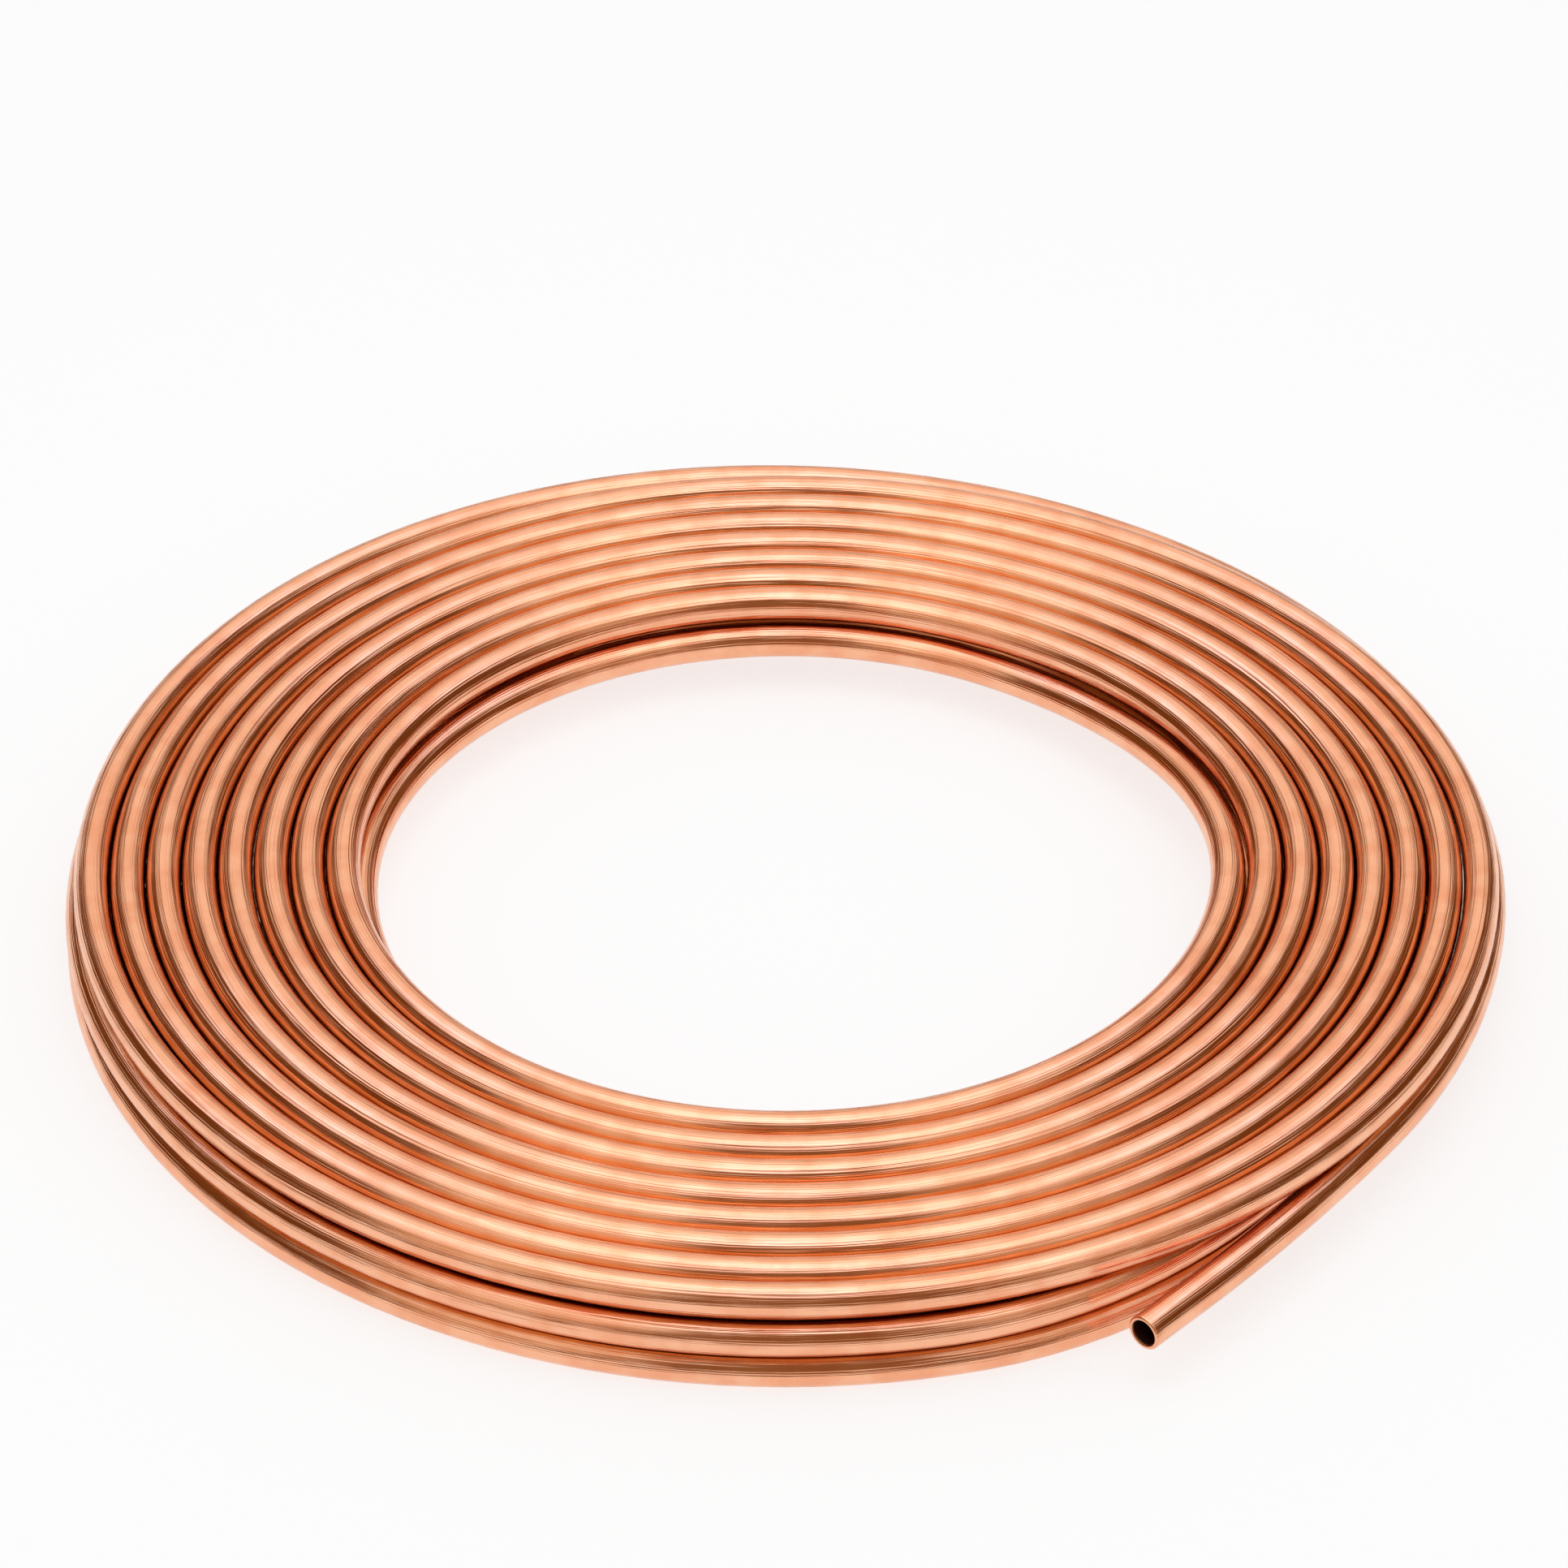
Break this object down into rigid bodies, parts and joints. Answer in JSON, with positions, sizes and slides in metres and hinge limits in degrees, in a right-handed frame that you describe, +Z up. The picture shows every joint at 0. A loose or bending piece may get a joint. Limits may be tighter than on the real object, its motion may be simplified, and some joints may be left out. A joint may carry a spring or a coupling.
{
  "type": "copper tube coil",
  "caption": "Flat coil of bright round copper tube, wound in layers round an open bore, lying flat with one open tube end leading out at the side.",
  "frame": {"origin": "on the floor, on the coil's axis", "axes": "+Z up along the coil's axis; the tip of the free end points along -X, on the -Y side"},
  "size_m": [0.9102, 0.9161, 0.0678],
  "materials": {
    "copper": "polished"
  },
  "bodies": {
    "root": {"tube_coil": "copper"}
  },
  "joints": []
}
